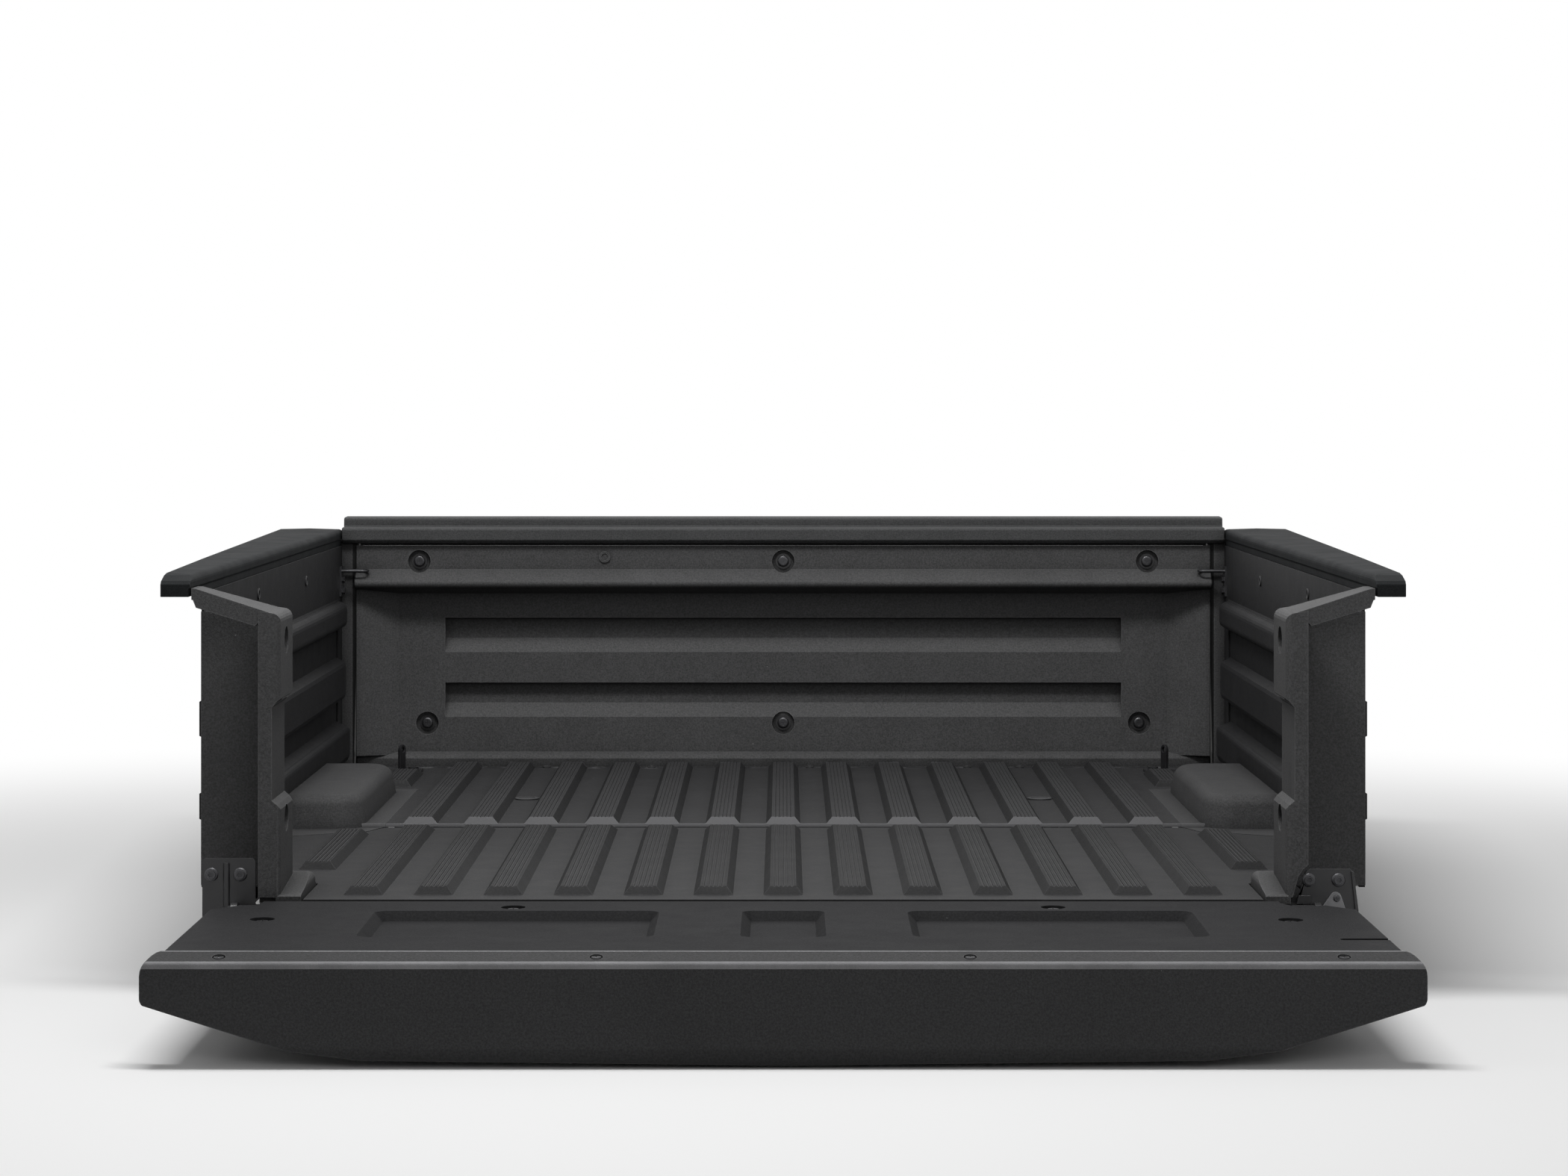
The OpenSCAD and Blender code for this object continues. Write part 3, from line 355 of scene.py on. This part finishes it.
def ribLines(tree, place):
    # lighter broken lines along the tops of the floor ribs, fainter in front of the seam, and painted shade
    # on the rib tops behind the seam
    x, y, z = (axisOf(tree, place, axis) for axis in "XYZ")
    step = ribs["head"] / (ribs["lines"] + 1)
    acrossRib = mathNode(tree, "PINGPONG", x, ribs["pitch"] / 2)
    onRib = mathNode(tree, "LESS_THAN", acrossRib, ribs["head"] / 2 - step * 0.4)
    high = mathNode(tree, "GREATER_THAN", z, ribs["top"])
    acrossLine = mathNode(tree, "PINGPONG", acrossRib, step / 2)
    line = ramp(tree, acrossLine, ribs["line"] / 2, ribs["line"], 1.0, 0.0)
    tick = ramp(tree, mathNode(tree, "PINGPONG", y, ribs["tick"] / 2), 0.0006, 0.0016, 0.35, 1.0)
    fade = ramp(tree, y, ribs["seam"] - 0.002, ribs["seam"] + 0.002, ribs["light"], ribs["frontLight"])
    heads = mathNode(tree, "MULTIPLY", onRib, high)
    lines = mathNode(tree, "MULTIPLY", heads, mathNode(tree, "MULTIPLY", line, tick))
    headShading = ramp(tree, y, ribs["seam"] - 0.002, ribs["seam"] + 0.002, ribs["headShade"], 0.0)
    lit = mathNode(tree, "MULTIPLY", lines, fade)
    return mathNode(tree, "ADD", lit, mathNode(tree, "MULTIPLY", high, headShading))


def jointDust(tree, place, patch):
    # pale dust swept into the joint of the floor and the bulkhead
    near = ramp(tree, axisOf(tree, place, "Y"), dustLine["from"], dustLine["to"])
    blotch = ramp(tree, noise(tree, place, 0.035, 5, 0.7), 0.50, 0.62)
    return mathNode(tree, "MULTIPLY", mathNode(tree, "MULTIPLY", near, blotch),
                    ramp(tree, patch, 0.35, 0.65, 0.3, dustLine["light"]))


def between(tree, value, low, high):
    return mathNode(tree, "MULTIPLY", mathNode(tree, "GREATER_THAN", value, low),
                    mathNode(tree, "LESS_THAN", value, high))


def seamHighlight(tree, place, top, colour):
    # painted highlight on the rear edge of the raised front floor
    onEdge = between(tree, axisOf(tree, place, "Y"), seamHighlightBand["from"], seamHighlightBand["to"])
    lowPart = between(tree, axisOf(tree, place, "Z"), seamHighlightBand["above"], top)
    onEdge = mathNode(tree, "MULTIPLY", onEdge, lowPart)
    return mathNode(tree, "MULTIPLY", onEdge, seamHighlightBand["grey"] / colour[0] - 1)


def gapShade(tree, place):
    # painted shade on the bulkhead's ends, where the gap to the corner posts falls dark
    sideways = mathNode(tree, "ABSOLUTE", axisOf(tree, place, "X"))
    across = between(tree, sideways, postGapShade["from"], postGapShade["to"])
    inGap = mathNode(tree, "MULTIPLY", across,
                     mathNode(tree, "GREATER_THAN", axisOf(tree, place, "Y"), postGapShade["behind"]))
    return ramp(tree, inGap, 0.0, 1.0, 1.0, postGapShade["dark"])


def capHighlight(tree, place, patch):
    # painted highlights on the two edges of the tailgate's cap
    y, z = axisOf(tree, place, "Y"), axisOf(tree, place, "Z")
    inner = mathNode(tree, "MULTIPLY", between(tree, y, *capHighlightLines["inner"]),
                     mathNode(tree, "GREATER_THAN", z, capHighlightLines["innerAbove"]))
    outer = mathNode(tree, "MULTIPLY", mathNode(tree, "LESS_THAN", y, capHighlightLines["outer"]),
                     between(tree, z, *capHighlightLines["outerZ"]))
    both = mathNode(tree, "MAXIMUM", inner, outer)
    light = ramp(tree, patch, 0.3, 0.7, capHighlightLines["light"] * 0.7, capHighlightLines["light"])
    return mathNode(tree, "MULTIPLY", both, light)


def creviceShade(tree):
    # painted shade in narrow gaps and recesses
    hollow = addNode(tree, "ShaderNodeAmbientOcclusion", Distance=crevice["reach"], samples=4)
    return ramp(tree, hollow.outputs["AO"], 0.35, 0.95, crevice["dark"], 1.0)


def grainedPlastic(name):
    spec = finishes[name]
    material, tree, shader, place = startMaterial(name)
    broad = noise(tree, place, blotches["broad"], 3)
    patch = noise(tree, place, blotches["patch"], 4, 0.6)
    fine = noise(tree, place, spec["grain"] * 2.0, 2, 0.7)
    tone = ramp(tree, broad, 0.3, 0.7, 0.91, 1.09)
    tone = mathNode(tree, "MULTIPLY", tone, ramp(tree, patch, 0.3, 0.7, 0.93, 1.08))
    tone = mathNode(tree, "MULTIPLY", tone, ramp(tree, fine, 0.34, 0.68, 0.74, 1.32))
    # painted shade: steep sides darker than upward faces
    if spec["flankShade"]:
        steep = ramp(tree, upwardFace(tree), 0.0, 1.0, 1.0 - spec["flankShade"], 1.0)
        tone = mathNode(tree, "MULTIPLY", tone, steep)
    scuffPlace = addNode(tree, "ShaderNodeMapping", Scale=(1.0, scuffs["stretch"], 1.0),
                         Rotation=(0, 0, scuffs["turn"]))
    tree.links.new(place, scuffPlace.inputs["Vector"])
    scuff = ramp(tree, noise(tree, scuffPlace.outputs[0], scuffs["size"], 3, 0.55), 0.66, 0.78)
    tone = mathNode(tree, "ADD", tone, mathNode(tree, "MULTIPLY", scuff, scuffs["light"] * spec["specks"]))
    wearAndGlint = edgeMask(tree, edgeWornAndLit["plastic"])
    # edges painted lighter: partly worn, partly a painted highlight
    tone = mathNode(tree, "ADD", tone, mathNode(tree, "MULTIPLY", wearAndGlint, spec["rubAndGlint"]))
    # pale specks of dust
    speck = addNode(tree, "ShaderNodeTexVoronoi", Scale=dustSpeck["perMetre"], Randomness=1.0)
    tree.links.new(place, speck.inputs["Vector"])
    dot = mathNode(tree, "LESS_THAN", speck.outputs["Distance"], dustSpeck["size"])
    chance = addNode(tree, "ShaderNodeSeparateColor")
    link(tree, speck, "Color", chance, 0)
    rare = mathNode(tree, "GREATER_THAN", chance.outputs[0], 1.0 - dustSpeck["share"] * spec["specks"])
    dust = mathNode(tree, "MULTIPLY", dot, rare)
    tone = mathNode(tree, "ADD", tone, mathNode(tree, "MULTIPLY", dust, dustSpeck["light"]))
    if name == "floorPlastic":
        tone = mathNode(tree, "ADD", tone, ribLines(tree, place))
    # painted shade in gaps and recesses
    tone = mathNode(tree, "MULTIPLY", tone, creviceShade(tree))
    if name == "floorPlastic":
        tone = mathNode(tree, "ADD", tone, jointDust(tree, place, patch))
    # painted shade in the joint to the corner posts
    if name == "panelLitPlastic":
        tone = mathNode(tree, "MULTIPLY", tone, gapShade(tree, place))
    # painted highlight on the seam edge
    if name in seamTop:
        tone = mathNode(tree, "ADD", tone, seamHighlight(tree, place, seamTop[name], spec["colour"]))
    # painted highlights on the cap's edges
    if name == "capPlastic":
        tone = mathNode(tree, "ADD", tone, capHighlight(tree, place, patch))
    tree.links.new(shade(tree, spec["colour"], tone), shader.inputs["Base Color"])
    rough = ramp(tree, patch, 0.3, 0.7, spec["rough"] - 0.05, spec["rough"] + 0.06)
    tree.links.new(mathNode(tree, "SUBTRACT", rough, mathNode(tree, "MULTIPLY", wearAndGlint, 0.12)),
                   shader.inputs["Roughness"])
    shader.inputs["Specular IOR Level"].default_value = spec.get("gloss", 0.14)
    pebble = addNode(tree, "ShaderNodeTexVoronoi", Scale=1.0 / spec["grain"], feature="SMOOTH_F1",
                     Smoothness=0.6)
    tree.links.new(place, pebble.inputs["Vector"])
    height = mathNode(tree, "ADD", pebble.outputs["Distance"], mathNode(tree, "MULTIPLY", fine, 0.6))
    bump = addNode(tree, "ShaderNodeBump", Strength=spec["bump"], Distance=bumpDepth["plastic"])
    tree.links.new(height, bump.inputs["Height"])
    link(tree, bump, "Normal", shader, "Normal")
    return material


def coatedMetal(name):
    spec = metals[name]
    material, tree, shader, place = startMaterial(name)
    patch = noise(tree, place, blotches["metal"], 4, 0.6)
    fine = noise(tree, place, spec["grain"], 2)
    wearAndGlint = edgeMask(tree, edgeWornAndLit["metal"])
    tone = ramp(tree, patch, 0.3, 0.7, 0.85, 1.2)
    # edges painted lighter: partly worn, partly a painted highlight
    tone = mathNode(tree, "ADD", tone, mathNode(tree, "MULTIPLY", wearAndGlint, 1.1))
    tree.links.new(shade(tree, spec["colour"], tone), shader.inputs["Base Color"])
    rough = ramp(tree, patch, 0.3, 0.7, spec["rough"] - 0.07, spec["rough"] + 0.09)
    tree.links.new(rough, shader.inputs["Roughness"])
    shader.inputs["Metallic"].default_value = spec["metal"]
    bump = addNode(tree, "ShaderNodeBump", Strength=spec["bump"], Distance=bumpDepth["metal"])
    tree.links.new(fine, bump.inputs["Height"])
    link(tree, bump, "Normal", shader, "Normal")
    return material


materials = {name: grainedPlastic(name) for name in finishes}
materials.update({name: coatedMetal(name) for name in metals})

slotFinish = {
    "grained_plastic": "panelLitPlastic",
    "satin_trim": "railPlastic",
    "black_steel": "blackSteel",
    "dark_hardware": "darkHardware",
    "seal_rubber": "sealRubber",
    "pan_paint": "panPaint",
    "plug_plastic": "plugPlastic",
}
ownFinish = {
    "front_floor_panel": "floorPlastic", "rear_floor_lid": "floorPlastic", "tailgate_liner": "linerShadedPlastic",
    "tailgate_top_cap": "capPlastic", "hinge_tab": "zincTab", "bulkhead_plug": "panelLitPlastic",
    "bulkhead_washers": "blackSteel",
}
slotOf = {part["node"]: part["material_slot"] for part in frame["record"]["subparts"]}


def finishOf(name):
    return ownFinish.get(name, slotFinish[slotOf[name]])


for nodeName, node in nodes.items():
    node.data.materials.clear()
    node.data.materials.append(materials[finishOf(nodeName)])
print("finishes on", len(nodes), "nodes")

# ---- pieces that stand for nodes, at the size the photograph shows ----

# welded: vertices this close become one; flat: faces within this angle are joined;
# sharp: edges above this angle are rounded
softening = {"welded": 0.00002, "flat": 1, "sharp": 28, "segments": 3}


def edit(piece):
    bpy.ops.object.select_all(action="DESELECT")
    piece.select_set(True)
    bpy.context.view_layer.objects.active = piece
    bpy.ops.object.mode_set(mode="EDIT")
    bpy.ops.mesh.select_all(action="DESELECT")
    bpy.ops.object.mode_set(mode="OBJECT")


def pick(piece, kind, test):
    # selects the vertices, edges or faces whose middle passes the test
    mesh = piece.data
    bpy.context.tool_settings.mesh_select_mode = (kind == "VERT", kind == "EDGE", kind == "FACE")
    for group in (mesh.vertices, mesh.edges, mesh.polygons):
        for element in group:
            element.select = False
    if kind == "VERT":
        for vertex in mesh.vertices:
            vertex.select = test(vertex.co)
    elif kind == "EDGE":
        for edge in mesh.edges:
            edge.select = test(*(mesh.vertices[i].co for i in edge.vertices))
    else:
        for face in mesh.polygons:
            face.select = test(face.center, face.normal)
    bpy.ops.object.mode_set(mode="EDIT")


def done():
    bpy.ops.object.mode_set(mode="OBJECT")


def settle(piece):
    # origin at the frame's zero, unturned and unscaled
    bpy.ops.object.select_all(action="DESELECT")
    piece.select_set(True)
    bpy.context.view_layer.objects.active = piece
    bpy.ops.object.transform_apply(location=True, rotation=True, scale=True)


def copyOf(nodeName, name):
    source = nodes[nodeName]
    piece = bpy.data.objects.new(name, source.data.copy())
    bpy.context.scene.collection.objects.link(piece)
    edit(piece)
    bpy.ops.object.mode_set(mode="EDIT")
    bpy.ops.mesh.select_all(action="SELECT")
    bpy.ops.mesh.remove_doubles(threshold=softening["welded"])
    bpy.ops.mesh.select_all(action="DESELECT")
    done()
    return piece


def standsFor(piece, nodeName, finish):
    piece.data.materials.clear()
    piece.data.materials.append(materials[finish])
    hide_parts(nodeName)


# the bulkhead's top trim reaches the rail caps
topTrim = {"end": 0.7615, "reach": 0.018}


def makeTopTrim():
    piece = copyOf("bulkhead_top_trim", "topTrim")
    for side in (-1, 1):
        pick(piece, "VERT", lambda at: at.x * side > topTrim["end"])
        bpy.ops.transform.translate(value=(side * topTrim["reach"], 0, 0))
        done()
    standsFor(piece, "bulkhead_top_trim", "trimPlastic")
    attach(piece, "bed")
    return piece


# the side walls come down onto the wheel arches
wallNotch = {"z": 0.104, "down": 0.024, "rear": 0.700, "front": 1.230, "inner": 0.750, "outer": 0.7790}


def makeSideWall(side, nodeName):
    piece = copyOf(nodeName, "sideWall" + side)
    spec = wallNotch
    pick(piece, "VERT", lambda at: abs(at.z - spec["z"]) < 0.0006 and spec["rear"] < at.y < spec["front"]
         and spec["inner"] < abs(at.x) < spec["outer"])
    bpy.ops.transform.translate(value=(0, 0, -spec["down"]))
    done()
    standsFor(piece, nodeName, "sideShadedPlastic")
    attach(piece, "bed")
    return piece


# the corner posts close the gaps below the top trim and behind the side walls' ends
cornerPost = {"top": 0.4315, "rise": 0.0065, "outer": 0.7805, "reach": 0.030, "inner": 0.7606, "lap": 0.009}


def makeCornerPost(side, nodeName):
    piece = copyOf(nodeName, "cornerPost" + side)
    spec = cornerPost
    outwards = 1 if side == "Right" else -1
    pick(piece, "VERT", lambda at: at.z > spec["top"])
    bpy.ops.transform.translate(value=(0, 0, spec["rise"]))
    done()
    pick(piece, "VERT", lambda at: at.z > spec["top"] and at.x * outwards < spec["inner"])
    bpy.ops.transform.translate(value=(-outwards * spec["lap"], 0, 0))
    done()
    pick(piece, "VERT", lambda at: at.x * outwards > spec["outer"])
    bpy.ops.transform.translate(value=(outwards * spec["reach"], 0, 0))
    done()
    standsFor(piece, nodeName, "panelLitPlastic")
    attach(piece, "bed")
    return piece


# wheel arch cover: dome on a foot that lies flush with the lid behind the seam and the floor before it
arch = {
    "inner": 0.640, "outer": 0.775, "rear": 0.716, "front": 1.218, "foot": 0.029, "lidTop": 0.034,
    "floorTop": 0.039, "top": 0.085, "corner": 0.050, "lean": 0.010, "round": 0.017, "wall": 0.004,
    "seam": 0.744, "floorEdge": 0.6113, "lap": 0.002, "frontEdge": 0.0018, "seamRun": 0.024, "smooth": 40,
}
# edge of the foot beside the lid, from the seam to the wall
archFootEdge = [(0.613, 0.744), (0.621, 0.728), (0.630, 0.700), (0.639, 0.683), (0.652, 0.6745),
                (0.685, 0.6685), (0.741, 0.636), (0.775, 0.636)]


def plate(name, outline, low, high):
    # a flat plate of any outline: a disc whose rim is moved to the outline, then extruded
    bpy.ops.object.select_all(action="DESELECT")
    bpy.ops.mesh.primitive_circle_add(vertices=len(outline), radius=0.1, fill_type="NGON", location=(0, 0, 0))
    piece = bpy.context.active_object
    piece.name = name
    for vertex, (x, y) in zip(piece.data.vertices, outline):
        vertex.co = (x, y, low)
    bpy.ops.object.mode_set(mode="EDIT")
    bpy.ops.mesh.select_all(action="SELECT")
    bpy.ops.mesh.extrude_region_move(TRANSFORM_OT_translate={"value": (0, 0, high - low)})
    bpy.ops.mesh.select_all(action="SELECT")
    bpy.ops.mesh.normals_make_consistent(inside=False)
    done()
    return piece


def archDome():
    spec = arch
    size = (spec["outer"] - spec["inner"], spec["front"] - spec["rear"], spec["top"] - spec["foot"])
    middle = ((spec["outer"] + spec["inner"]) / 2, (spec["front"] + spec["rear"]) / 2,
              (spec["top"] + spec["foot"]) / 2)
    bpy.ops.object.select_all(action="DESELECT")
    bpy.ops.mesh.primitive_cube_add(size=1, location=middle, scale=size)
    dome = bpy.context.active_object
    settle(dome)
    # round the two upright corners inside the bed
    pick(dome, "EDGE", lambda a, b: a.x < middle[0] and b.x < middle[0] and abs(a.z - b.z) > 0.01)
    bpy.ops.mesh.bevel(offset=spec["corner"], segments=8, affect="EDGES")
    done()
    # lean the walls inwards: draw the top in, but leave it against the side wall
    pick(dome, "VERT", lambda at: at.z > middle[2])
    drawIn = ((size[0] - spec["lean"]) / size[0], (size[1] - 2 * spec["lean"]) / size[1], 1)
    bpy.ops.transform.resize(value=drawIn, center_override=(spec["outer"], middle[1], spec["top"]))
    done()
    # no floor and no wall side
    pick(dome, "FACE", lambda at, normal: normal.z < -0.9 or normal.x > 0.9)
    bpy.ops.mesh.delete(type="FACE")
    done()
    # round the top edge, but not where it meets the side wall
    pick(dome, "EDGE", lambda a, b: a.z > middle[2] and b.z > middle[2]
         and min(a.x, b.x) < spec["outer"] - 0.001
         and not (abs(a.y - b.y) > size[1] * 0.6 and a.x > middle[0]))
    bpy.ops.mesh.bevel(offset=spec["round"], segments=6, affect="EDGES")
    done()
    solid = dome.modifiers.new("wall", "SOLIDIFY")
    solid.thickness = spec["wall"]
    solid.offset = -1
    bpy.ops.object.modifier_apply(modifier="wall")
    return dome


def footCorner(yMiddle, start, end):
    # points round the dome's upright corner, just inside its wall
    spec = arch
    radius = spec["corner"] - spec["lap"]
    points = []
    for i in range(5):
        angle = math.radians(start + (end - start) * i / 4)
        points.append((spec["inner"] + spec["corner"] + radius * math.cos(angle),
                       yMiddle + radius * math.sin(angle)))
    return points


def makeArch():
    spec = arch
    rearCorner = footCorner(spec["rear"] + spec["corner"], 270, 207)
    frontCorner = footCorner(spec["front"] - spec["corner"], 90, 180)
    seamX = rearCorner[-1][0]
    rearWall = (spec["outer"], spec["rear"] + spec["lap"])
    behind = archFootEdge + [rearWall] + rearCorner[:-1] + [(seamX, spec["seam"])]
    atSeam = [(spec["floorEdge"], spec["seam"]), (seamX, spec["seam"]),
              (spec["inner"] + spec["lap"], spec["seam"] + spec["seamRun"])]
    frontEdge = spec["front"] + spec["frontEdge"]
    atFront = [(spec["outer"], spec["front"] - spec["lap"]), (spec["outer"], frontEdge),
               (spec["floorEdge"], frontEdge)]
    before = atSeam + frontCorner[::-1] + atFront
    pieces = [archDome(), plate("archFootBehind", behind, spec["foot"], spec["lidTop"]),
              plate("archFootBefore", before, spec["foot"], spec["floorTop"])]
    bpy.ops.object.select_all(action="DESELECT")
    for piece in pieces:
        piece.select_set(True)
    bpy.context.view_layer.objects.active = pieces[0]
    bpy.ops.object.join()
    right = bpy.context.active_object
    right.name = "archCoverRight"
    bpy.ops.object.shade_smooth_by_angle(angle=math.radians(spec["smooth"]))
    left = bpy.data.objects.new("archCoverLeft", right.data.copy())
    bpy.context.scene.collection.objects.link(left)
    left.scale = (-1, 1, 1)
    settle(left)
    edit(left)
    bpy.ops.object.mode_set(mode="EDIT")
    bpy.ops.mesh.select_all(action="SELECT")
    bpy.ops.mesh.normals_make_consistent(inside=False)
    done()
    for piece, side in ((left, "left"), (right, "right")):
        standsFor(piece, "wheel_arch_cover_" + side, "archPlastic")
        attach(piece, "bed")


# flush plugs that close the fixing holes of the side walls
wallPlug = {
    "at": [(0.571, 0.402), (1.090, 0.394)], "radius": 0.0085, "depth": 0.006, "proud": 0.0022, "dish": 0.0055,
    "dishDepth": 0.003, "rim": 0.0006, "wall": 0.781,
}


def makeWallPlug(name, side, y, z):
    spec = wallPlug
    bpy.ops.object.select_all(action="DESELECT")
    x = side * (spec["wall"] + spec["depth"] / 2 - spec["proud"])
    bpy.ops.mesh.primitive_cylinder_add(vertices=32, radius=spec["radius"], depth=spec["depth"],
                                        location=(x, y, z), rotation=(0, math.radians(-90 * side), 0))
    piece = bpy.context.active_object
    piece.name = name
    settle(piece)
    pick(piece, "FACE", lambda at, normal: normal.x * side < -0.9)
    bpy.ops.mesh.inset(thickness=spec["radius"] - spec["dish"])
    bpy.ops.mesh.extrude_region_move(TRANSFORM_OT_translate={"value": (side * spec["dishDepth"], 0, 0)})
    done()
    rim = piece.modifiers.new("rim", "BEVEL")
    rim.width = spec["rim"]
    rim.segments = 2
    rim.limit_method = "ANGLE"
    bpy.ops.object.modifier_apply(modifier="rim")
    piece.data.materials.append(materials["plugPlastic"])
    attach(piece, "bed")


# pieces made anew and how far their edges are rounded
newPieces = {"topTrim": (makeTopTrim(), 0.0030)}
for wallSide in ("left", "right"):
    sideWall = makeSideWall(wallSide.capitalize(), "side_panel_" + wallSide)
    newPieces["sideWall" + wallSide] = (sideWall, 0.0035)
    post = makeCornerPost(wallSide.capitalize(), "corner_post_" + wallSide)
    newPieces["cornerPost" + wallSide] = (post, 0.0015)
makeArch()
for plugSide, sideName in ((-1, "Left"), (1, "Right")):
    for plugNumber, (plugY, plugZ) in enumerate(wallPlug["at"]):
        makeWallPlug("wallPlug%s%d" % (sideName, plugNumber + 1), plugSide, plugY, plugZ)
print("trim, side walls, posts, arch covers and wall plugs made")

# ---- soft edges ----

softEdges = {
    "tailgate_top_cap": 0.0040, "tailgate_liner": 0.0030, "bulkhead_panel": 0.0035,
    "rail_cap_left": 0.0030, "rail_cap_right": 0.0030, "pillar_trim_left": 0.0025,
    "pillar_trim_right": 0.0025, "front_floor_panel": 0.0011, "rear_floor_lid": 0.0014,
    "hinge_bracket_left": 0.0012, "hinge_bracket_right": 0.0012, "floor_tie_down_left": 0.0010,
    "floor_tie_down_right": 0.0010,
}


def soften(node, width):
    # merges the loose triangles, joins the flat ones and rounds what is left sharp
    weld = node.modifiers.new("weld", "WELD")
    weld.merge_threshold = softening["welded"]
    flat = node.modifiers.new("flat", "DECIMATE")
    flat.decimate_type = "DISSOLVE"
    flat.angle_limit = math.radians(softening["flat"])
    edge = node.modifiers.new("edge", "BEVEL")
    edge.width = width
    edge.segments = softening["segments"]
    edge.limit_method = "ANGLE"
    edge.angle_limit = math.radians(softening["sharp"])


for nodeName, width in softEdges.items():
    soften(nodes[nodeName], width)
for newPiece, width in newPieces.values():
    soften(newPiece, width)
print("edges rounded on", len(softEdges) + len(newPieces), "pieces")
